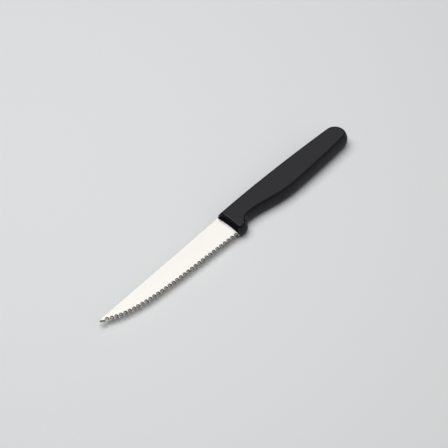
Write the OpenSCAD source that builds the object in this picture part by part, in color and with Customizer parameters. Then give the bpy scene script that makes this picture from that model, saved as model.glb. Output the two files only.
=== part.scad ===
// Small serrated vegetable knife: a stamped steel blade whose hidden tang is moulded into a plastic handle.
// It lies on its side, with the tip to -X, the cutting edge to -Y and the handle's lower flat on Z = 0.

/* [Blade] */
// Length of the blade from the front of the guard to the tip
blade_len = 111.1; // [95:0.1:130]
// Width of the blade at its shoulder in the handle, from the spine to the points of the teeth
heel_w = 19.6; // [16:0.1:19.8]
// Thickness of the steel
blade_t = 0.8; // [0.6:0.1:1.6]
// Drop of the tip below the line of the spine
tip_drop = 0.9; // [0.4:0.1:3]
// Length over which the spine bends down to the tip
tip_bend = 9; // [5:1:20]
// Length of the flat stretch of the edge, from the front of the guard
edge_flat = 44.8; // [30:0.1:55]
// Rise of the edge along that flat stretch
edge_flat_rise = 4.4; // [0:0.1:5.5]
// Length of the curved stretch of the edge that ends at the tip
edge_curve = 20; // [14:1:28]
// Rise of the edge along that curved stretch
edge_curve_rise = 16.9; // [10:0.1:17.5]
// Angle by which the blade drops towards its tip, seen from the blade's side
blade_droop = 0.33; // [0:0.01:1]

/* [Serration] */
// Spacing of the scallops, which is eased so that a whole number fills the edge
tooth_pitch = 3.2; // [2.4:0.1:4]
// Depth of the scallops, measured square to their slope
tooth_depth = 1.15; // [0.4:0.05:1.3]
// Angle between the ground scallops and the flat of the blade
grind_angle = 36; // [30:1:55]
// Height of the land left on the point of each tooth
tooth_land = 0.12; // [0.05:0.01:0.3]
// Plain stretch of edge between the shoulder and the first scallop
heel_plain = 2.2; // [1:0.1:6]
// Stretch of edge between the last scallop and the tip, which is ground straight
tip_plain = 3.9; // [1:0.1:6]

/* [Tang] */
// Depth to which the full width of the blade reaches into the handle
shoulder_depth = 5; // [3:0.5:6]
// Length of the tang, from the front of the handle
tang_len = 78; // [70:1:85]
// Width of the tang
tang_w = 9; // [7:0.5:10]
// Drop of the tang's upper side below the line of the spine
tang_drop = 4; // [3:0.25:5]
// Diameter of the holes that the plastic fills
tang_hole_d = 4.5; // [3:0.5:5.5]
// Number of holes along the tang
tang_holes = 3; // [1:1:3]
// Distance of the first hole from the front of the handle
tang_hole_start = 22; // [14:1:26]
// Spacing of the holes
tang_hole_gap = 21; // [10:1:21]

/* [Handle] */
// Length of the handle
handle_len = 106.5; // [98:0.1:120]
// Thickness between the handle's two flats at the front
front_t = 11.8; // [9:0.1:13.5]
// Thickness between the handle's two flats at the butt
butt_t = 14.4; // [13:0.1:17]
// Height of the handle's back over the line of the spine
back_rise = 0.5; // [0.2:0.1:1.5]
// Fall of the handle's back from the front to the butt
back_fall = 4.6; // [2:0.1:5]
// Radius of the round butt above its middle
butt_r = 9.4; // [8:0.1:10.5]
// Radius of the round butt below its middle
butt_low_r = 6.1; // [5:0.1:8]
// Depth of the belly below the line of the spine
belly_depth = 21; // [20:0.1:25]
// Distance of the deepest part of the belly from the front
belly_x = 54; // [45:0.2:65]
// Depth of the neck below the line of the spine
neck_depth = 15.3; // [15:0.1:18]
// Distance of the neck from the front
neck_x = 13.6; // [13.2:0.2:18]
// Depth of the finger guard below the line of the spine
guard_depth = 20; // [19.9:0.1:24]
// Width of the guard along the handle
guard_w = 9.4; // [8.6:0.1:10.5]
// Radius of the guard at its nose
nose_r = 3.8; // [3:0.1:4.4]
// Radius of the guard towards the neck
guard_r = 3.6; // [3:0.1:4.2]
// Lead of the front's upper corner over the guard
corner_lead = 0.5; // [0:0.1:1]
// Hollow of the front between that corner and the guard
front_hollow = 0.4; // [0:0.1:1]
// Radius of the corner between the front and the back
corner_r = 1.2; // [0.6:0.1:2]

/* [Moulding] */
// Draft of the sides, measured at the flats
side_draft = 0.5; // [0.1:0.1:0.6]
// Rounding of the sides towards the flats
side_round = 2.2; // [1.2:0.1:2.4]
// Draft of the front, measured at the flats
front_draft = 0.5; // [0.2:0.1:1]
// Rounding of the front towards the flats
front_round = 1.8; // [0.5:0.1:2.2]

/* [Hidden] */
$fn = 64;

// Share of each span that its curve leaves in a straight line
guard_ease = 0.28;
neck_ease_in = 0.45;
neck_ease_out = 0.3;
belly_ease_in = 0.42;
belly_ease_out = 0.3;
back_ease = 0.36;
back_ease_front = 0.28;
front_ease = 0.4;
// Angles at which the guard and the round butt meet their neighbours
guard_end = -25;
butt_start = -86;
butt_end = 85;
// Points along each stretch of the handle's outline, and layers from its middle to a flat
nose_n = 6;
guard_n = 5;
neck_n = 8;
belly_n = 14;
loin_n = 8;
butt_n = 10;
back_n = 14;
corner_n = 4;
front_n = 5;
layers = 9;
// Points along the blade's edge, along the bend of its spine and round the end of its tang
edge_n = 48;
bend_n = 6;
tang_n = 16;

// Half the handle's thickness at a distance from the front, and the lean that lays its lower flat level
function half_t(x) = (front_t + (butt_t - front_t) * x / handle_len) / 2;
lean = atan((butt_t - front_t) / 2 / handle_len);
// Control points of the edge, from the shoulder to the tip, with Y = 0 on the line of the spine
edge = [
    [shoulder_depth, -heel_w],
    [-edge_flat, -heel_w + edge_flat_rise],
    [-blade_len + edge_curve, -tip_drop - edge_curve_rise],
    [-blade_len, -tip_drop]
];

// Point on a cubic curve of four control points, and its direction there
function on_curve(p, t) =
    pow(1 - t, 3) * p[0] + 3 * pow(1 - t, 2) * t * p[1] + 3 * (1 - t) * t * t * p[2] + t * t * t * p[3];
function heading(p, t) =
    let (d = pow(1 - t, 2) * (p[1] - p[0]) + 2 * (1 - t) * t * (p[2] - p[1]) + t * t * (p[3] - p[2]))
    atan2(d[1], d[0]);
// Points of a curve from step first to step last of n, and points of an arc
function curve(p, n, first, last) = [for (i = [first:last]) on_curve(p, i / n)];
function arc(c, r, a0, a1, n) = [for (i = [0:n]) c + r * unit(a0 + (a1 - a0) * i / n)];
function unit(a) = [cos(a), sin(a)];
// Curve between two points, with a heading and an ease at each end
function ease(p, a, q, b, lead, trail) =
    let (span = norm(q - p))
    [p, p + lead * span * unit(a), q - trail * span * unit(b), q];
// Last point of a list, and all its points but the first
function last(v) = v[len(v) - 1];
function rest(v) = [for (i = [1:len(v) - 1]) v[i]];

// Length of the edge up to each of its steps, and the step that lies a given length along it
edge_run = [for (i = [0:edge_n]) on_curve(edge, i / edge_n)];
function run_to(i) = i == 0 ? 0 : run_to(i - 1) + norm(edge_run[i] - edge_run[i - 1]);
function edge_step(s) = lookup(s, [for (i = [0:edge_n]) [run_to(i), i / edge_n]]);
toothed = run_to(edge_n) - heel_plain - tip_plain;
tooth_count = round(toothed / tooth_pitch);
tooth_gap = toothed / tooth_count;

// Radius of the scallops, reach of a scallop behind the points of its teeth, and length of its cut
tooth_r = (tooth_gap * tooth_gap / 4 + tooth_depth * tooth_depth) / (2 * tooth_depth);
gullet = (tooth_depth - tooth_land) / sin(grind_angle);
grind_len = 2 * (blade_t / sin(grind_angle) + 2 * tooth_r);

// Outline of the handle, drawn in by front at its front face and by side elsewhere
function handle_outline(front, side) =
    let (
        nose = arc(
            [front + nose_r - side, nose_r - guard_depth],
            nose_r - side, -180, -90, nose_n
        ),
        hook = arc(
            [guard_w - guard_r, guard_r - guard_depth],
            guard_r - side, -90, guard_end, guard_n
        ),
        neck = [neck_x, side - neck_depth],
        belly = [belly_x, side - belly_depth],
        butt_y = back_rise - back_fall - butt_r,
        butt_low = arc([handle_len - butt_low_r, butt_y], butt_low_r - side, butt_start, 0, butt_n),
        butt_high = arc([handle_len - butt_r, butt_y], butt_r - side, 0, butt_end, butt_n),
        corner = arc(
            [front - corner_lead + corner_r, back_rise - side - corner_r], corner_r, 90, 180, corner_n
        ),
        scoop = ease(last(hook), guard_end + 90, neck, 0, guard_ease, neck_ease_in),
        palm = ease(neck, 0, belly, 0, neck_ease_out, belly_ease_in),
        loin = ease(belly, 0, butt_low[0], butt_start + 90, belly_ease_out, belly_ease_out),
        back = ease(last(butt_high), butt_end + 90, corner[0], 180, back_ease, back_ease_front),
        dish = [
            last(corner),
            [front + front_hollow, back_rise - guard_depth * front_ease],
            [front + front_hollow, -guard_depth * (1 - front_ease)],
            nose[0]
        ]
    )
    concat(
        nose,
        hook,
        curve(scoop, neck_n, 1, neck_n),
        curve(palm, belly_n, 1, belly_n),
        curve(loin, loin_n, 1, loin_n - 1),
        butt_low,
        rest(butt_high),
        curve(back, back_n, 1, back_n - 1),
        corner,
        curve(dish, front_n, 1, front_n - 1)
    );

// Stack of outlines from the lower flat to the upper one, which close in on an ellipse towards each flat
stack = [for (i = [-layers:layers]) let (a = 90 * i / layers, up = abs(sin(a)), in = 1 - cos(a)) [
    for (p = handle_outline(front_draft * up + front_round * in, side_draft * up + side_round * in))
        [p[0], p[1], half_t(p[0]) * sin(a)]
]];

// Points of the handle as it leans on its lower flat, the tip of the level blade,
// and the shift that centres the knife over the ground
function leaned(p) = [p[0] * cos(lean) - p[2] * sin(lean), p[1], p[0] * sin(lean) + p[2] * cos(lean)];
tip = [tip_drop * sin(blade_droop) - blade_len * cos(blade_droop),
    -tip_drop * cos(blade_droop) - blade_len * sin(blade_droop), 0];
reach = concat([tip], [for (layer = stack, p = layer) leaned(p)]);
function axis_of(i) = [for (p = reach) p[i]];
function middle(v) = (min(v) + max(v)) / 2;
centre = [-middle(axis_of(0)), -middle(axis_of(1)), -min(axis_of(2))];

module lay_handle() {
    translate(centre) rotate([0, -lean, 0]) children();
}

module lay_blade() {
    translate(centre) rotate(blade_droop) children();
}

module handle_shell() {
    n = len(stack[0]);
    rows = len(stack) - 1;
    walls = [for (i = [0:rows - 1], j = [0:n - 1]) let (k = (j + 1) % n, a = i * n, b = a + n)
        each [[a + j, b + j, b + k], [a + j, b + k, a + k]]];
    lower = [[for (j = [0:n - 1]) j]];
    upper = [[for (j = [n - 1:-1:0]) rows * n + j]];
    polyhedron([for (layer = stack) each layer], concat(walls, lower, upper), convexity = 6);
}

// Blade blank with its shoulder, its tang and the holes in the tang
module blade_blank() {
    tang_end = tang_len - tang_w / 2;
    tang_y = -tang_drop - tang_w / 2;
    bend = [
        [-blade_len, -tip_drop],
        [-blade_len + tip_bend / 3, 0],
        [-blade_len + tip_bend * 2 / 3, 0],
        [-blade_len + tip_bend, 0]
    ];
    linear_extrude(blade_t, center = true) difference() {
        polygon(concat(
            edge_run,
            curve(bend, bend_n, 1, bend_n),
            [[shoulder_depth, 0], [shoulder_depth, -tang_drop]],
            arc([tang_end, tang_y], tang_w / 2, 90, -90, tang_n),
            [[shoulder_depth, -tang_drop - tang_w]]
        ));
        for (i = [0:tang_holes - 1])
            translate([tang_hole_start + i * tang_hole_gap, tang_y]) circle(d = tang_hole_d);
    }
}

// Places a grinding line, which slopes from the upper flat down to depth behind the edge
module grind_line(step, depth) {
    at = on_curve(edge, step);
    translate([at[0], at[1], 0])
        rotate(heading(edge, step) + 180)
            translate([0, depth, -blade_t / 2])
                rotate([grind_angle - 90, 0, 0]) children();
}

// Round groove of one scallop
module scallop(step) {
    grind_line(step, gullet)
        translate([0, -tooth_r, 0]) cylinder(r = tooth_r, h = grind_len, center = true);
}

// Straight bevel between the last scallop and the tip
module tip_bevel() {
    grind_line(1, tooth_land)
        translate([-tip_plain, -tooth_r, -grind_len / 2]) cube([2 * tip_plain, tooth_r, grind_len]);
}

module ground_blade() {
    lay_blade() difference() {
        blade_blank();
        for (i = [0:tooth_count - 1]) scallop(edge_step(heel_plain + (i + 0.5) * tooth_gap));
        tip_bevel();
    }
}

module blade() {
    color("gainsboro") ground_blade();
}

module handle() {
    color("#2b2b2d") difference() {
        lay_handle() handle_shell();
        ground_blade();
    }
}

blade();
handle();
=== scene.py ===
"""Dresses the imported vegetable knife: a serrated blade in a moulded handle, in a plain studio."""

import logging
import math
from dataclasses import dataclass, field
from enum import Enum
from typing import Any

import bmesh
import bpy
from mathutils import Matrix, Vector


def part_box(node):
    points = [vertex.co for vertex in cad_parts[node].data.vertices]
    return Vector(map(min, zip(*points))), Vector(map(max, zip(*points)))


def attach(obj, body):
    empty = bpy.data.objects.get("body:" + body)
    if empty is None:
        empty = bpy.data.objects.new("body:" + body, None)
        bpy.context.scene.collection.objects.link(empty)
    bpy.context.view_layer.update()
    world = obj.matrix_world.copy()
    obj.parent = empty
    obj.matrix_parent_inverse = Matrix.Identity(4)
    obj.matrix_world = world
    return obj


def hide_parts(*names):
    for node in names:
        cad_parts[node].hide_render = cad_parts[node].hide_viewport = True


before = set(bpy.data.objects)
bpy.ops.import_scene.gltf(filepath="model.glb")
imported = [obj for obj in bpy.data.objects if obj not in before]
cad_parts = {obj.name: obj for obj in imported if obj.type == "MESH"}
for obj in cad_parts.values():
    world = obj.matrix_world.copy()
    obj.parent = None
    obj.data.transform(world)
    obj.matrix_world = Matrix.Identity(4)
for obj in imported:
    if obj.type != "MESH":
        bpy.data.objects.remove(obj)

LOG = logging.getLogger("vegetable_knife")
# Sizes of the knife are in millimetres, and the finished meshes are in metres
MM = 0.001
BODY = "root"


class Node(str, Enum):
    """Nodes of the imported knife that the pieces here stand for."""

    BLADE = "blade"
    HANDLE = "handle"


class Slot(str, Enum):
    """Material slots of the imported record."""

    STEEL = "stainless_steel"
    PLASTIC = "black_plastic"


def linear(hex_colour: str) -> tuple[float, float, float, float]:
    """Turns an sRGB hex colour into the linear colour that shaders take.

    Args:
        hex_colour: Colour as six hex digits after a hash.

    Returns:
        Linear red, green and blue, with full alpha.
    """
    channels = [int(hex_colour[i:i + 2], 16) / 255 for i in (1, 3, 5)]
    curve = [c / 12.92 if c <= 0.04045 else ((c + 0.055) / 1.055) ** 2.4 for c in channels]
    return curve[0], curve[1], curve[2], 1.0


def add_node(
    tree: bpy.types.NodeTree,
    kind: str,
    settings: dict[str, Any] | None = None,
    inputs: dict[str | int, Any] | None = None,
) -> bpy.types.Node:
    """Adds a node to a tree, with its settings and its inputs.

    Args:
        tree: Tree that gets the node.
        kind: Type name of the node.
        settings: Values of the node's own properties.
        inputs: Value, or output socket to link, for each input by its name or number.

    Returns:
        The new node.
    """
    node = tree.nodes.new(kind)
    for name, value in (settings or {}).items():
        setattr(node, name, value)
    for key, value in (inputs or {}).items():
        if isinstance(value, bpy.types.NodeSocket):
            tree.links.new(value, node.inputs[key])
        else:
            node.inputs[key].default_value = value
    return node


def unit(degrees: float) -> Vector:
    """Returns the plane vector of length one at an angle in degrees."""
    return Vector((math.cos(math.radians(degrees)), math.sin(math.radians(degrees))))


def arc(centre: Vector, radius: float, start: float, end: float, steps: int) -> list[Vector]:
    """Gives points along an arc.

    Args:
        centre: Middle of the arc.
        radius: Radius of the arc.
        start: Angle of the first point in degrees.
        end: Angle of the last point in degrees.
        steps: Number of steps between the two.

    Returns:
        Points from start to end, both included.
    """
    return [centre + radius * unit(start + (end - start) * i / steps) for i in range(steps + 1)]


@dataclass(frozen=True)
class Cubic:
    """Cubic curve of four control points."""

    start: Vector
    leave: Vector
    arrive: Vector
    end: Vector

    @classmethod
    def eased(
        cls,
        start: Vector,
        start_deg: float,
        end: Vector,
        end_deg: float,
        lead: float,
        trail: float,
    ) -> "Cubic":
        """Joins two points with a heading at each.

        Args:
            start: First point.
            start_deg: Heading at the first point in degrees.
            end: Last point.
            end_deg: Heading at the last point in degrees.
            lead: Share of the span that the curve leaves in a straight line.
            trail: Share of the span that it arrives in a straight line.

        Returns:
            The curve between them.
        """
        span = (end - start).length
        return cls(start, start + lead * span * unit(start_deg), end - trail * span * unit(end_deg), end)

    def at(self, t: float) -> Vector:
        """Returns the point at a share of the curve from 0 to 1."""
        s = 1 - t
        near = s**3 * self.start + 3 * s * s * t * self.leave
        return near + 3 * s * t * t * self.arrive + t**3 * self.end

    def points(self, steps: int, first: int, last: int) -> list[Vector]:
        """Gives points along the curve.

        Args:
            steps: Number of steps from its start to its end.
            first: Step of the first point given.
            last: Step of the last point given.

        Returns:
            Points from the first step to the last one, both included.
        """
        return [self.at(i / steps) for i in range(first, last + 1)]

    def length(self, steps: int) -> float:
        """Returns the curve's length, measured along that many chords."""
        run = self.points(steps, 0, steps)
        return sum((b - a).length for a, b in zip(run, run[1:]))


def loft(name: str, rings: list[list[Vector]]) -> bpy.types.Mesh:
    """Makes a closed mesh of rings with equal numbers of points, with a flat cap at both ends.

    Args:
        name: Name of the mesh.
        rings: Closed rings of points, from one end to the other.

    Returns:
        Mesh whose faces point outwards.
    """
    made = bmesh.new()
    rows = [[made.verts.new(point) for point in ring] for ring in rings]
    count = len(rings[0])
    for low, high in zip(rows, rows[1:]):
        for i in range(count):
            j = (i + 1) % count
            made.faces.new((low[i], low[j], high[j], high[i]))
    made.faces.new(list(reversed(rows[0])))
    made.faces.new(rows[-1])
    bmesh.ops.recalc_face_normals(made, faces=made.faces)
    mesh = bpy.data.meshes.new(name)
    made.to_mesh(mesh)
    made.free()
    return mesh


def hold(name: str, mesh: bpy.types.Mesh) -> bpy.types.Object:
    """Puts a mesh into the scene as an object at the origin and returns the object."""
    holder = bpy.data.objects.new(name, mesh)
    bpy.context.scene.collection.objects.link(holder)
    return holder


def settle(holder: bpy.types.Object) -> bpy.types.Mesh:
    """Turns an object and its modifiers into a plain mesh.

    Args:
        holder: Object whose modifiers make the shape; it is removed.

    Returns:
        The evaluated mesh.
    """
    graph = bpy.context.evaluated_depsgraph_get()
    mesh = bpy.data.meshes.new_from_object(holder.evaluated_get(graph), depsgraph=graph)
    bpy.data.objects.remove(holder)
    return mesh


def carve(mesh: bpy.types.Mesh, cutter: bpy.types.Mesh) -> bpy.types.Mesh:
    """Cuts one closed mesh out of another.

    Args:
        mesh: Mesh that is cut.
        cutter: Mesh whose space is taken away.

    Returns:
        The cut mesh, with the cutter's materials on the faces that it made.
    """
    tool = hold("cutter", cutter)
    holder = hold("carved", mesh)
    cut = holder.modifiers.new("cut", "BOOLEAN")
    cut.operation = "DIFFERENCE"
    cut.solver = "EXACT"
    cut.material_mode = "TRANSFER"
    cut.object = tool
    made = settle(holder)
    bpy.data.objects.remove(tool)
    return made


def shade(mesh: bpy.types.Mesh, crease: float) -> None:
    """Shades a mesh smooth, apart from the edges that turn sharply.

    Args:
        mesh: Mesh to shade.
        crease: Angle in degrees above which an edge stays sharp.
    """
    made = bmesh.new()
    made.from_mesh(mesh)
    for face in made.faces:
        face.smooth = True
    for edge in made.edges:
        edge.smooth = edge.calc_face_angle(math.pi) < math.radians(crease)
    made.to_mesh(mesh)
    made.free()


@dataclass(frozen=True)
class GrindingLines:
    """Fine lines that grinding leaves on steel, with their sizes in millimetres along the blade's axes."""

    along: float
    across: float
    depth: float
    detail: float


@dataclass(frozen=True)
class LinedSteel:
    """Stainless steel whose gloss and relief follow the lines of its grinding."""

    name: str
    colour: str
    roughness: float
    roughness_spread: float
    lines: GrindingLines

    def material(self) -> bpy.types.Material:
        """Builds the material and returns it."""
        made = bpy.data.materials.new(self.name)
        made.use_nodes = True
        tree = made.node_tree
        shader = tree.nodes["Principled BSDF"]
        shader.inputs["Base Color"].default_value = linear(self.colour)
        shader.inputs["Metallic"].default_value = 1.0
        place = add_node(tree, "ShaderNodeTexCoord")
        along, across = 1 / (self.lines.along * MM), 1 / (self.lines.across * MM)
        stretch = add_node(
            tree,
            "ShaderNodeMapping",
            inputs={"Vector": place.outputs["Object"], "Scale": (along, across, across)},
        )
        line = add_node(
            tree,
            "ShaderNodeTexNoise",
            inputs={"Vector": stretch.outputs[0], "Scale": 1.0, "Detail": self.lines.detail},
        )
        rough = add_node(
            tree,
            "ShaderNodeMapRange",
            inputs={
                "Value": line.outputs[0],
                "To Min": self.roughness - self.roughness_spread,
                "To Max": self.roughness + self.roughness_spread,
            },
        )
        tree.links.new(rough.outputs[0], shader.inputs["Roughness"])
        relief = add_node(
            tree,
            "ShaderNodeBump",
            inputs={"Height": line.outputs[0], "Strength": 1.0, "Distance": self.lines.depth * MM},
        )
        tree.links.new(relief.outputs[0], shader.inputs["Normal"])
        return made


@dataclass(frozen=True)
class SatinSteel(LinedSteel):
    """Stainless steel strip, cold rolled and satin ground along its length.

    It mirrors broad light softly, and faint hairlines run along the blade.
    """

    name: str = "stainless_steel_satin_ground"
    colour: str = "#e4e1dc"
    roughness: float = 0.2
    roughness_spread: float = 0.05
    # Real hairlines are some hundredths of a millimetre wide, drawn coarser here so that they show
    lines: GrindingLines = GrindingLines(along=14.0, across=0.16, depth=0.0012, detail=3.0)


@dataclass(frozen=True)
class GroundSteel(LinedSteel):
    """The same steel where a profiled wheel has ground the scallops.

    The wheel leaves fine lines across the edge and a less even gloss than the faces have. Its colour is
    darker than theirs as painted shade, for the dark that the scallops mirror.
    """

    name: str = "stainless_steel_wheel_ground_painted_shade"
    # Darker than the faces' steel: painted shade for the dark that the scallops mirror
    colour: str = "#cdc8c3"
    roughness: float = 0.32
    roughness_spread: float = 0.08
    # Real wheel marks are some hundredths of a millimetre wide, drawn coarser here so that they show
    lines: GrindingLines = GrindingLines(along=0.1, across=3.0, depth=0.004, detail=2.0)


@dataclass(frozen=True)
class MouldedPolypropylene:
    """Black polypropylene, injection moulded in a finely spark-eroded mould.

    The fine grain breaks up reflections, so its flats go dark grey under a large light and black elsewhere.
    """

    name: str = "polypropylene_moulded_black"
    colour: str = "#090a12"
    flow_colour: str = "#0d0e17"
    # Below the 1.49 of the plain plastic, because the grain scatters a part of what the surface mirrors
    ior: float = 1.37
    roughness: float = 0.2
    roughness_spread: float = 0.03
    # The real grain is under a tenth of a millimetre, drawn coarser here so that it shows
    grain: float = 0.45
    grain_depth: float = 0.012
    grain_detail: float = 3.0
    # Width of the faint clouds that the flow of the plastic leaves
    flow: float = 9.0
    flow_detail: float = 2.0

    def material(self) -> bpy.types.Material:
        """Builds the material and returns it."""
        made = bpy.data.materials.new(self.name)
        made.use_nodes = True
        tree = made.node_tree
        shader = tree.nodes["Principled BSDF"]
        shader.inputs["IOR"].default_value = self.ior
        place = add_node(tree, "ShaderNodeTexCoord")
        grain, flow = (
            add_node(
                tree,
                "ShaderNodeTexNoise",
                inputs={"Vector": place.outputs["Object"], "Scale": 1 / (size * MM), "Detail": detail},
            )
            for size, detail in ((self.grain, self.grain_detail), (self.flow, self.flow_detail))
        )
        tint = add_node(
            tree,
            "ShaderNodeMix",
            {"data_type": "RGBA"},
            {0: flow.outputs[0], 6: linear(self.colour), 7: linear(self.flow_colour)},
        )
        tree.links.new(tint.outputs[2], shader.inputs["Base Color"])
        rough = add_node(
            tree,
            "ShaderNodeMapRange",
            inputs={
                "Value": flow.outputs[0],
                "To Min": self.roughness - self.roughness_spread,
                "To Max": self.roughness + self.roughness_spread,
            },
        )
        tree.links.new(rough.outputs[0], shader.inputs["Roughness"])
        relief = add_node(
            tree,
            "ShaderNodeBump",
            inputs={"Height": grain.outputs[0], "Strength": 1.0, "Distance": self.grain_depth * MM},
        )
        tree.links.new(relief.outputs[0], shader.inputs["Normal"])
        return made


@dataclass(frozen=True)
class PaperSweep:
    """Matt, pale grey background paper."""

    colour: str = "#f2f3f4"
    roughness: float = 0.9

    def material(self) -> bpy.types.Material:
        """Builds the material and returns it."""
        made = bpy.data.materials.new("background_paper")
        made.use_nodes = True
        shader = made.node_tree.nodes["Principled BSDF"]
        shader.inputs["Base Color"].default_value = linear(self.colour)
        shader.inputs["Roughness"].default_value = self.roughness
        shader.inputs["Specular IOR Level"].default_value = 0.0
        return made


@dataclass
class RowOfCuts:
    """Node tree that cuts a row of equal round grooves or holes along a curve."""

    name: str
    # Steps along the curve, round each cutter and along each cutter
    path_steps: int = 400
    round_steps: int = 64
    length_steps: int = 16

    def tree(self) -> bpy.types.NodeTree:
        """Builds the tree and returns it."""
        tree = bpy.data.node_groups.new(self.name, "GeometryNodeTree")
        tree.is_modifier = True
        sockets = {
            "Geometry": "NodeSocketGeometry",
            "Start": "NodeSocketVector",
            "Start Handle": "NodeSocketVector",
            "End Handle": "NodeSocketVector",
            "End": "NodeSocketVector",
            "Lead": "NodeSocketFloat",
            "Trail": "NodeSocketFloat",
            "Count": "NodeSocketInt",
            "Radius": "NodeSocketFloat",
            "Length": "NodeSocketFloat",
            "Axis Offset": "NodeSocketFloat",
            "Tilt": "NodeSocketFloat",
            "Hollow": "NodeSocketFloat",
            "Seat": "NodeSocketVector",
            "Body": "NodeSocketMaterial",
            "Cut": "NodeSocketMaterial",
        }
        for name, kind in sockets.items():
            tree.interface.new_socket(name, in_out="INPUT", socket_type=kind)
        tree.interface.new_socket("Geometry", in_out="OUTPUT", socket_type="NodeSocketGeometry")
        given = add_node(tree, "NodeGroupInput").outputs
        path = add_node(
            tree,
            "GeometryNodeCurvePrimitiveBezierSegment",
            inputs={
                "Resolution": self.path_steps,
                "Start": given["Start"],
                "Start Handle": given["Start Handle"],
                "End Handle": given["End Handle"],
                "End": given["End"],
            },
        )
        run = add_node(tree, "GeometryNodeCurveLength", inputs={"Curve": path.outputs[0]})
        stop = add_node(
            tree, "ShaderNodeMath", {"operation": "SUBTRACT"}, {0: run.outputs[0], 1: given["Trail"]}
        )
        stretch = add_node(
            tree,
            "GeometryNodeTrimCurve",
            {"mode": "LENGTH"},
            {"Curve": path.outputs[0], 4: given["Lead"], 5: stop.outputs[0]},
        )
        places = add_node(
            tree, "GeometryNodeResampleCurve", inputs={"Curve": stretch.outputs[0], "Count": given["Count"]}
        )
        tangent = add_node(tree, "GeometryNodeInputTangent")
        towards_heel = add_node(
            tree, "ShaderNodeVectorMath", {"operation": "SCALE"}, {0: tangent.outputs[0], "Scale": -1.0}
        )
        turn = add_node(
            tree,
            "FunctionNodeAxesToRotation",
            {"primary_axis": "Z", "secondary_axis": "X"},
            {0: (0.0, 0.0, 1.0), 1: towards_heel.outputs[0]},
        )
        wheel = add_node(
            tree,
            "GeometryNodeMeshCylinder",
            inputs={
                "Vertices": self.round_steps,
                "Side Segments": self.length_steps,
                "Radius": given["Radius"],
                "Depth": given["Length"],
            },
        )
        spot = add_node(tree, "GeometryNodeInputPosition")
        height = add_node(tree, "ShaderNodeSeparateXYZ", inputs={0: spot.outputs[0]})
        square = add_node(
            tree,
            "ShaderNodeMath",
            {"operation": "MULTIPLY"},
            {0: height.outputs["Z"], 1: height.outputs["Z"]},
        )
        bow = add_node(
            tree,
            "ShaderNodeMath",
            {"operation": "MULTIPLY_ADD"},
            {0: square.outputs[0], 1: given["Hollow"], 2: given["Axis Offset"]},
        )
        aside = add_node(tree, "ShaderNodeCombineXYZ", inputs={"Y": bow.outputs[0]})
        set_off = add_node(
            tree,
            "GeometryNodeSetPosition",
            inputs={"Geometry": wheel.outputs[0], "Offset": aside.outputs[0]},
        )
        tilt = add_node(tree, "ShaderNodeCombineXYZ", inputs={"X": given["Tilt"]})
        seated = add_node(
            tree,
            "GeometryNodeTransform",
            inputs={
                "Geometry": set_off.outputs[0],
                "Translation": given["Seat"],
                "Rotation": tilt.outputs[0],
            },
        )
        painted = add_node(
            tree,
            "GeometryNodeSetMaterial",
            inputs={"Geometry": seated.outputs[0], "Material": given["Cut"]},
        )
        row = add_node(
            tree,
            "GeometryNodeInstanceOnPoints",
            inputs={
                "Points": places.outputs[0],
                "Instance": painted.outputs[0],
                "Rotation": turn.outputs[0],
            },
        )
        cut = add_node(
            tree,
            "GeometryNodeMeshBoolean",
            {"operation": "DIFFERENCE", "solver": "EXACT"},
            {"Mesh 1": given["Geometry"], "Mesh 2": row.outputs[0], "Self Intersection": True},
        )
        whole = add_node(tree, "GeometryNodeRealizeInstances", inputs={"Geometry": cut.outputs[0]})
        is_cut = add_node(tree, "GeometryNodeMaterialSelection", inputs={"Material": given["Cut"]})
        is_body = add_node(tree, "FunctionNodeBooleanMath", {"operation": "NOT"}, {0: is_cut.outputs[0]})
        dressed = add_node(
            tree,
            "GeometryNodeSetMaterial",
            inputs={
                "Geometry": whole.outputs[0],
                "Selection": is_body.outputs[0],
                "Material": given["Body"],
            },
        )
        add_node(tree, "NodeGroupOutput", inputs={0: dressed.outputs[0]})
        return tree

    def cut(self, mesh: bpy.types.Mesh, sizes: dict[str, Any]) -> bpy.types.Mesh:
        """Cuts the row out of a mesh.

        Args:
            mesh: Mesh that is cut.
            sizes: Value of each of the tree's inputs by its name.

        Returns:
            The cut mesh.
        """
        holder = hold(self.name, mesh)
        row = holder.modifiers.new(self.name, "NODES")
        row.node_group = self.tree()
        for item in row.node_group.interface.items_tree:
            if item.in_out == "INPUT" and item.name in sizes:
                row[item.identifier] = sizes[item.name]
        return settle(holder)


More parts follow.
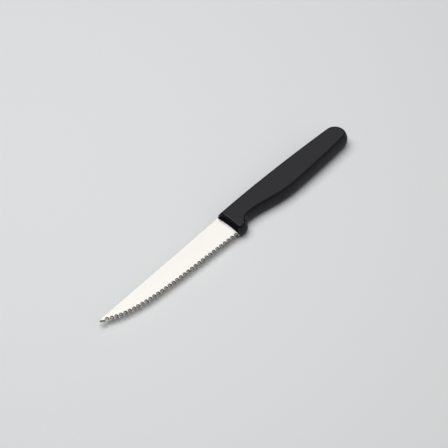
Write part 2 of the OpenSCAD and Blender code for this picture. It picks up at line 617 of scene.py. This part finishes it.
@dataclass
class Blade:
    """Stamped and ground steel blade, with the tang that the handle hides.

    X runs from the tip to the handle, Y from the edge to the spine and Z out of the ground side.
    The origin is where the line of the spine meets the front of the guard.
    """

    length: float = 111.1
    heel_width: float = 19.6
    thickness: float = 0.8
    tip_drop: float = 0.9
    tip_bend: float = 9.0
    edge_flat: float = 44.8
    edge_flat_rise: float = 4.4
    edge_curve: float = 20.0
    edge_curve_rise: float = 16.9
    # Angle by which the blade drops towards its tip, seen from its side
    droop: float = 0.33
    tooth_pitch: float = 3.2
    tooth_depth: float = 1.15
    grind_angle: float = 36.0
    tooth_land: float = 0.12
    # Radius to which the grinding wheel hollows each scallop along its length
    tooth_hollow: float = 4.0
    heel_plain: float = 2.2
    tip_plain: float = 3.9
    shoulder_depth: float = 5.0
    tang_length: float = 78.0
    tang_width: float = 9.0
    tang_drop: float = 4.0
    tang_hole: float = 4.5
    tang_holes: int = 3
    tang_hole_start: float = 22.0
    tang_hole_gap: float = 21.0
    # Length of the punch that cuts the tang's holes
    punch_length: float = 3.2
    # Rounding that tumbling leaves on the spine's two edges
    spine_ease: float = 0.14
    edge_steps: int = 160
    bend_steps: int = 16
    tang_steps: int = 24
    face: SatinSteel = field(default_factory=SatinSteel)
    ground: GroundSteel = field(default_factory=GroundSteel)

    @property
    def edge(self) -> Cubic:
        """Line of the teeth's points, from the shoulder in the handle to the tip."""
        return Cubic(
            Vector((self.shoulder_depth, -self.heel_width)),
            Vector((-self.edge_flat, self.edge_flat_rise - self.heel_width)),
            Vector((self.edge_curve - self.length, -self.tip_drop - self.edge_curve_rise)),
            Vector((-self.length, -self.tip_drop)),
        )

    @property
    def tang_middle(self) -> float:
        """Height of the tang's middle line."""
        return -self.tang_drop - self.tang_width / 2

    def outline(self, ease: float) -> list[Vector]:
        """Draws the blank.

        Args:
            ease: Distance by which the spine is drawn in.

        Returns:
            Closed outline of the blade and its tang.
        """
        bend_start = self.tip_bend - self.length
        bend = Cubic(
            Vector((-self.length, -self.tip_drop)),
            Vector((self.tip_bend / 3 - self.length, 0)),
            Vector((self.tip_bend * 2 / 3 - self.length, 0)),
            Vector((bend_start, 0)),
        ).points(self.bend_steps, 1, self.bend_steps)
        drawn_in = [p - Vector((0, ease * (i + 1) / self.bend_steps)) for i, p in enumerate(bend)]
        tang_end = Vector((self.tang_length - self.tang_width / 2, self.tang_middle))
        return [
            *self.edge.points(self.edge_steps, 0, self.edge_steps),
            *drawn_in,
            Vector((self.shoulder_depth, -ease)),
            Vector((self.shoulder_depth, -self.tang_drop)),
            *arc(tang_end, self.tang_width / 2, 90, -90, self.tang_steps),
            Vector((self.shoulder_depth, -self.tang_drop - self.tang_width)),
        ]

    def blank(self) -> bpy.types.Mesh:
        """Makes the stamped blank with its holes, before grinding, and returns its mesh."""
        top = self.thickness / 2
        levels = [
            (-top, self.spine_ease),
            (self.spine_ease - top, 0),
            (top - self.spine_ease, 0),
            (top, self.spine_ease),
        ]
        rings = [[p.to_3d() + Vector((0, 0, z)) for p in self.outline(ease)] for z, ease in levels]
        mesh = loft("blank", rings)
        first = Vector((self.tang_hole_start, self.tang_middle, 0))
        last = first + Vector((self.tang_hole_gap * (self.tang_holes - 1), 0, 0))
        face = self.face.material()
        mesh.materials.append(face)
        sizes = {
            "Start": first,
            "Start Handle": first.lerp(last, 1 / 3),
            "End Handle": first.lerp(last, 2 / 3),
            "End": last,
            "Count": self.tang_holes,
            "Radius": self.tang_hole / 2,
            "Length": self.punch_length,
            "Body": face,
            "Cut": face,
        }
        return RowOfCuts("tang_holes").cut(mesh, sizes)

    def serrate(self, blank: bpy.types.Mesh) -> bpy.types.Mesh:
        """Grinds the scallops and the plain bevel at the tip.

        Args:
            blank: Mesh of the blank.

        Returns:
            Mesh of the ground blade.
        """
        toothed = self.edge.length(self.edge_steps) - self.heel_plain - self.tip_plain
        count = round(toothed / self.tooth_pitch)
        gap = toothed / count
        slope = math.radians(self.grind_angle)
        radius = (gap * gap / 4 + self.tooth_depth**2) / (2 * self.tooth_depth)
        gullet = (self.tooth_depth - self.tooth_land) / math.sin(slope)
        reach = self.thickness / math.sin(slope) + 2 * radius / math.tan(slope) + radius
        bow = -1 / (2 * self.tooth_hollow)
        sag = -bow * (self.thickness / 2 / math.sin(slope)) ** 2 / math.sin(slope)
        middle = gullet + sag + self.thickness / 2 / math.tan(slope)
        ground = self.ground.material()
        edge = self.edge
        sizes = {
            "Start": edge.start.to_3d(),
            "Start Handle": edge.leave.to_3d(),
            "End Handle": edge.arrive.to_3d(),
            "End": edge.end.to_3d(),
            "Lead": self.heel_plain + gap / 2,
            "Trail": self.tip_plain + gap / 2,
            "Count": count,
            "Radius": radius,
            "Length": reach,
            "Axis Offset": -radius,
            "Tilt": slope - math.pi / 2,
            "Hollow": bow,
            "Seat": Vector((0, middle, 0)),
            "Body": blank.materials[0],
            "Cut": ground,
        }
        LOG.info("blade: %d scallops, %.2f mm apart", count, gap)
        scalloped = RowOfCuts("scallops").cut(blank, sizes)
        return carve(scalloped, self.tip_wedge(slope, reach, ground))

    def tip_wedge(self, slope: float, reach: float, ground: bpy.types.Material) -> bpy.types.Mesh:
        """Makes the block that cuts the plain bevel between the last scallop and the tip.

        Args:
            slope: Angle between the bevel and the blade's flat, in radians.
            reach: Length of the cut along the slope.
            ground: Material that the bevel gets.

        Returns:
            Mesh of the block, in its place.
        """
        made = bmesh.new()
        bmesh.ops.create_cube(made, size=1)
        heading = self.edge.arrive - self.edge.end
        place = (
            Matrix.Translation(self.edge.end.to_3d())
            @ Matrix.Rotation(math.atan2(heading.y, heading.x), 4, "Z")
            @ Matrix.Translation((0, self.tooth_land, -self.thickness / 2))
            @ Matrix.Rotation(slope - math.pi / 2, 4, "X")
            @ Matrix.Translation((0, -self.tooth_depth / 2, 0))
            @ Matrix.Diagonal((2 * self.tip_plain, self.tooth_depth, reach, 1))
        )
        made.transform(place)
        mesh = bpy.data.meshes.new("tip_wedge")
        made.to_mesh(mesh)
        made.free()
        mesh.materials.append(ground)
        return mesh


@dataclass
class Handle:
    """Plastic handle, moulded round the tang in one piece.

    It is drawn in the blade's axes. Its outline is the same at every height, apart from draft and rounding.
    """

    length: float = 106.5
    front_thickness: float = 11.8
    butt_thickness: float = 14.4
    back_rise: float = 0.5
    back_fall: float = 4.6
    # Radii of the round butt above its middle and below it
    butt_radius: float = 9.4
    butt_low_radius: float = 6.1
    belly_depth: float = 21.0
    belly_x: float = 54.0
    neck_depth: float = 15.3
    neck_x: float = 13.6
    guard_depth: float = 20.0
    guard_width: float = 9.4
    # Radii of the guard, at its nose and towards the neck
    nose_radius: float = 3.8
    guard_radius: float = 3.6
    corner_lead: float = 0.5
    front_hollow: float = 0.4
    corner_radius: float = 1.2
    side_draft: float = 0.5
    side_round: float = 2.2
    front_draft: float = 0.5
    front_round: float = 1.8
    # Share of each span that its curve leaves in a straight line
    guard_ease: float = 0.28
    neck_ease_in: float = 0.45
    neck_ease_out: float = 0.3
    belly_ease_in: float = 0.42
    belly_ease_out: float = 0.3
    back_ease: float = 0.36
    back_ease_front: float = 0.28
    front_ease: float = 0.4
    # Angles at which the guard and the round butt meet their neighbours
    guard_end: float = -25.0
    butt_start: float = -86.0
    butt_end: float = 85.0
    # Steps along each stretch of the outline
    nose_steps: int = 16
    hook_steps: int = 14
    scoop_steps: int = 28
    palm_steps: int = 48
    loin_steps: int = 28
    butt_steps: int = 30
    back_steps: int = 48
    corner_steps: int = 12
    dish_steps: int = 18
    # Witness line of the mould's two halves, along the middle of the sides
    parting_depth: float = 0.05
    parting_width: float = 0.3
    # Plain rim of each flat, inside the rounding
    flat_margin: float = 0.3
    layers: int = 18
    # A face belongs to the sides if its normal lifts less than the first of these shares
    # and points forwards less than the second
    side_lift: float = 0.45
    front_share: float = 0.7
    flats: MouldedPolypropylene = field(default_factory=MouldedPolypropylene)
    # The sides keep the coarser grain of the mould's walls, which dulls what they mirror
    sides: MouldedPolypropylene = MouldedPolypropylene("polypropylene_moulded_coarse", roughness=0.6)

    @property
    def lean(self) -> float:
        """Angle in radians by which the knife leans when its tapering handle lies on a flat."""
        return math.atan((self.butt_thickness - self.front_thickness) / 2 / self.length)

    def half_thickness(self, x: float) -> float:
        """Returns half the thickness at a distance from the guard."""
        return (self.front_thickness + (self.butt_thickness - self.front_thickness) * x / self.length) / 2

    def outline(self, front: float, side: float) -> list[Vector]:
        """Draws the handle.

        Args:
            front: Distance by which the front face is drawn in.
            side: Distance by which the rest is drawn in.

        Returns:
            Closed outline, anticlockwise from the guard.
        """
        nose_middle = Vector((front + self.nose_radius - side, self.nose_radius - self.guard_depth))
        nose = arc(nose_middle, self.nose_radius - side, -180, -90, self.nose_steps)
        hook_middle = Vector((self.guard_width - self.guard_radius, self.guard_radius - self.guard_depth))
        hook = arc(hook_middle, self.guard_radius - side, -90, self.guard_end, self.hook_steps)
        neck = Vector((self.neck_x, side - self.neck_depth))
        belly = Vector((self.belly_x, side - self.belly_depth))
        butt_y = self.back_rise - self.back_fall - self.butt_radius
        low_middle = Vector((self.length - self.butt_low_radius, butt_y))
        butt_low = arc(low_middle, self.butt_low_radius - side, self.butt_start, 0, self.butt_steps)
        high_middle = Vector((self.length - self.butt_radius, butt_y))
        butt_high = arc(high_middle, self.butt_radius - side, 0, self.butt_end, self.butt_steps)
        corner_x = front - self.corner_lead + self.corner_radius
        corner_y = self.back_rise - side - self.corner_radius
        corner = arc(Vector((corner_x, corner_y)), self.corner_radius, 90, 180, self.corner_steps)
        scoop = Cubic.eased(hook[-1], self.guard_end + 90, neck, 0, self.guard_ease, self.neck_ease_in)
        palm = Cubic.eased(neck, 0, belly, 0, self.neck_ease_out, self.belly_ease_in)
        loin = Cubic.eased(
            belly, 0, butt_low[0], self.butt_start + 90, self.belly_ease_out, self.belly_ease_out
        )
        back = Cubic.eased(
            butt_high[-1], self.butt_end + 90, corner[0], 180, self.back_ease, self.back_ease_front
        )
        dish = Cubic(
            corner[-1],
            Vector((front + self.front_hollow, self.back_rise - self.guard_depth * self.front_ease)),
            Vector((front + self.front_hollow, -self.guard_depth * (1 - self.front_ease))),
            nose[0],
        )
        return [
            *nose,
            *hook,
            *scoop.points(self.scoop_steps, 1, self.scoop_steps),
            *palm.points(self.palm_steps, 1, self.palm_steps),
            *loin.points(self.loin_steps, 1, self.loin_steps - 1),
            *butt_low,
            *butt_high[1:],
            *back.points(self.back_steps, 1, self.back_steps - 1),
            *corner,
            *dish.points(self.dish_steps, 1, self.dish_steps - 1),
        ]

    def ring(self, angle: float, inset: float, lift: float = 0.0) -> list[Vector]:
        """Draws the outline at one height.

        Args:
            angle: Place between the lower flat at -90 degrees and the upper one at 90.
            inset: Extra distance by which the outline is drawn in there.
            lift: Extra height.

        Returns:
            Closed ring of points.
        """
        up, drawn = math.sin(math.radians(angle)), 1 - math.cos(math.radians(angle))
        outline = self.outline(
            self.front_draft * abs(up) + self.front_round * drawn + inset,
            self.side_draft * abs(up) + self.side_round * drawn + inset,
        )
        return [Vector((p.x, p.y, self.half_thickness(p.x) * up + lift)) for p in outline]

    def shell(self) -> bpy.types.Mesh:
        """Makes the handle without the space for the tang and returns its mesh."""
        step = 90 / self.layers
        upper = [(step * i, 0.0, 0.0) for i in range(1, self.layers + 1)] + [(90.0, self.flat_margin, 0.0)]
        lower = [(-angle, inset, lift) for angle, inset, lift in reversed(upper)]
        parting = [
            (0.0, 0.0, -self.parting_width / 2),
            (0.0, self.parting_depth, 0.0),
            (0.0, 0.0, self.parting_width / 2),
        ]
        return loft("handle_shell", [self.ring(*place) for place in [*lower, *parting, *upper]])

    def dress(self, grip: bpy.types.Mesh) -> None:
        """Gives the flats and the front one finish and the sides the other.

        Args:
            grip: Mesh of the handle in its own axes.
        """
        grip.materials.clear()
        grip.materials.append(self.flats.material())
        grip.materials.append(self.sides.material())
        for face in grip.polygons:
            upright = abs(face.normal.z) < self.side_lift
            face.material_index = int(upright and face.normal.x > -self.front_share)


@dataclass
class Knife:
    """The whole knife: both pieces, made in the blade's axes and then laid on the frame."""

    blade: Blade = field(default_factory=Blade)
    handle: Handle = field(default_factory=Handle)
    blade_crease: float = 20.0
    handle_crease: float = 40.0

    @property
    def seat(self) -> Matrix:
        """Turn from the blade's axes to the handle's: the blade is level, and the handle leans."""
        drop = Matrix.Rotation(math.radians(self.blade.droop), 4, "Z")
        return Matrix.Rotation(self.handle.lean, 4, "Y") @ drop

    def place(self, shell: bpy.types.Mesh) -> Matrix:
        """Works out where the knife lies, so that its butt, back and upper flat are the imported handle's.

        Args:
            shell: Mesh of the handle in its own axes.

        Returns:
            Matrix from the handle's axes in millimetres to the frame in metres.
        """
        turn = Matrix.Scale(MM, 4) @ Matrix.Rotation(-self.handle.lean, 4, "Y")
        corners = [turn @ v.co for v in shell.vertices]
        high = Vector([max(c[i] for c in corners) for i in range(3)])
        _, box_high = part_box(Node.HANDLE.value)
        return Matrix.Translation(box_high - high) @ turn

    def build(self) -> None:
        """Builds both pieces and ties each to its node and its body."""
        shell = self.handle.shell()
        place = self.place(shell)
        blade = self.blade.serrate(self.blade.blank())
        blade.transform(self.seat)
        grip = carve(shell, blade.copy())
        self.handle.dress(grip)
        for node, mesh, crease, slot in (
            (Node.BLADE, blade, self.blade_crease, Slot.STEEL),
            (Node.HANDLE, grip, self.handle_crease, Slot.PLASTIC),
        ):
            mesh.transform(place)
            shade(mesh, crease)
            piece = hold(f"knife_{node.value}", mesh)
            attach(piece, BODY)
            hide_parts(node.value)
            LOG.info("%s: %d faces", piece.name, len(mesh.polygons))


@dataclass(frozen=True)
class Softbox:
    """Studio light that hangs over the knife, faces it and is swung aside."""

    name: str
    # Swing from straight above, towards the butt and towards the spine's side
    along: float
    across: float
    distance: float
    # Sizes along the knife and across it
    width: float
    depth: float
    power: float


@dataclass
class Studio:
    """Pale floor, soft lights and the camera. Lengths are in metres and angles in degrees."""

    # The camera looks down on the knife from its tip's side with a long lens
    camera_azimuth: float = -47.074
    camera_elevation: float = 54.988
    camera_roll: float = 0.845
    camera_distance: float = 2.3957
    camera_aim: tuple[float, float, float] = (0.00145, 0.0041, 0.00607)
    lens: float = 297.2
    floor_size: float = 24.0
    floor: PaperSweep = field(default_factory=PaperSweep)
    # The room is dark, apart from a glow on its ceiling
    room_colour: str = "#303030"
    glow_colour: str = "#bcbcbb"
    glow_azimuth: float = 30.0
    glow_elevation: float = 42.0
    glow_edge: float = 52.0
    lights: tuple[Softbox, ...] = (
        Softbox(
            "back_softbox", along=25.0, across=17.0, distance=1.3, width=0.85, depth=0.7, power=2.34
        ),
        Softbox(
            "overhead_softbox", along=-7.6, across=7.5, distance=1.0, width=0.5, depth=0.8, power=6.3
        ),
    )

    def away(self, azimuth: float, elevation: float) -> Vector:
        """Returns the direction from the knife to a place round it."""
        side, up = math.radians(azimuth), math.radians(elevation)
        return Vector((math.sin(side) * math.cos(up), -math.cos(side) * math.cos(up), math.sin(up)))

    def set_camera(self) -> None:
        """Sets the camera where the photograph was taken from."""
        back = self.away(self.camera_azimuth, self.camera_elevation)
        data = bpy.data.cameras.new("camera")
        data.lens = self.lens
        camera = bpy.data.objects.new("camera", data)
        roll = Matrix.Rotation(math.radians(self.camera_roll), 3, "Z")
        turn = (-back).to_track_quat("-Z", "Y").to_matrix() @ roll
        where = Vector(self.camera_aim) + back * self.camera_distance
        camera.matrix_world = Matrix.Translation(where) @ turn.to_4x4()
        bpy.context.scene.collection.objects.link(camera)
        bpy.context.scene.camera = camera

    def set_lights(self) -> None:
        """Sets up the softboxes."""
        for box in self.lights:
            data = bpy.data.lights.new(box.name, "AREA")
            data.shape = "RECTANGLE"
            data.size = box.width
            data.size_y = box.depth
            data.energy = box.power
            lamp = bpy.data.objects.new(box.name, data)
            lamp.matrix_world = (
                Matrix.Rotation(math.radians(-box.across), 4, "X")
                @ Matrix.Rotation(math.radians(box.along), 4, "Y")
                @ Matrix.Translation((0, 0, box.distance))
            )
            bpy.context.scene.collection.objects.link(lamp)

    def light_room(self) -> None:
        """Lights the room: dark towards the horizon, with a glow on its ceiling."""
        world = bpy.data.worlds.new("studio")
        world.use_nodes = True
        tree = world.node_tree
        towards = add_node(tree, "ShaderNodeTexCoord")
        facing = add_node(
            tree,
            "ShaderNodeVectorMath",
            {"operation": "DOT_PRODUCT"},
            {0: towards.outputs["Generated"], 1: self.away(self.glow_azimuth, self.glow_elevation)},
        )
        share = add_node(
            tree,
            "ShaderNodeMapRange",
            {"interpolation_type": "SMOOTHSTEP"},
            {"Value": facing.outputs["Value"], "From Min": math.cos(math.radians(self.glow_edge))},
        )
        colour = add_node(
            tree,
            "ShaderNodeMix",
            {"data_type": "RGBA"},
            {0: share.outputs[0], 6: linear(self.room_colour), 7: linear(self.glow_colour)},
        )
        tree.links.new(colour.outputs[2], tree.nodes["Background"].inputs["Color"])
        bpy.context.scene.world = world

    def lay_floor(self) -> None:
        """Lays the paper that the knife lies on."""
        made = bmesh.new()
        bmesh.ops.create_grid(made, x_segments=1, y_segments=1, size=self.floor_size / 2)
        mesh = bpy.data.meshes.new("floor")
        made.to_mesh(mesh)
        made.free()
        mesh.materials.append(self.floor.material())
        hold("floor", mesh)

    def build(self) -> None:
        """Sets up the floor, the lights and the camera."""
        self.lay_floor()
        self.set_lights()
        self.light_room()
        self.set_camera()
        bpy.context.scene.view_settings.view_transform = "Standard"


def main() -> None:
    """Builds the knife and its studio."""
    logging.basicConfig(level=logging.INFO, format="%(name)s: %(message)s")
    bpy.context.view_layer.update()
    Knife().build()
    Studio().build()


if __name__ == "__main__":
    main()
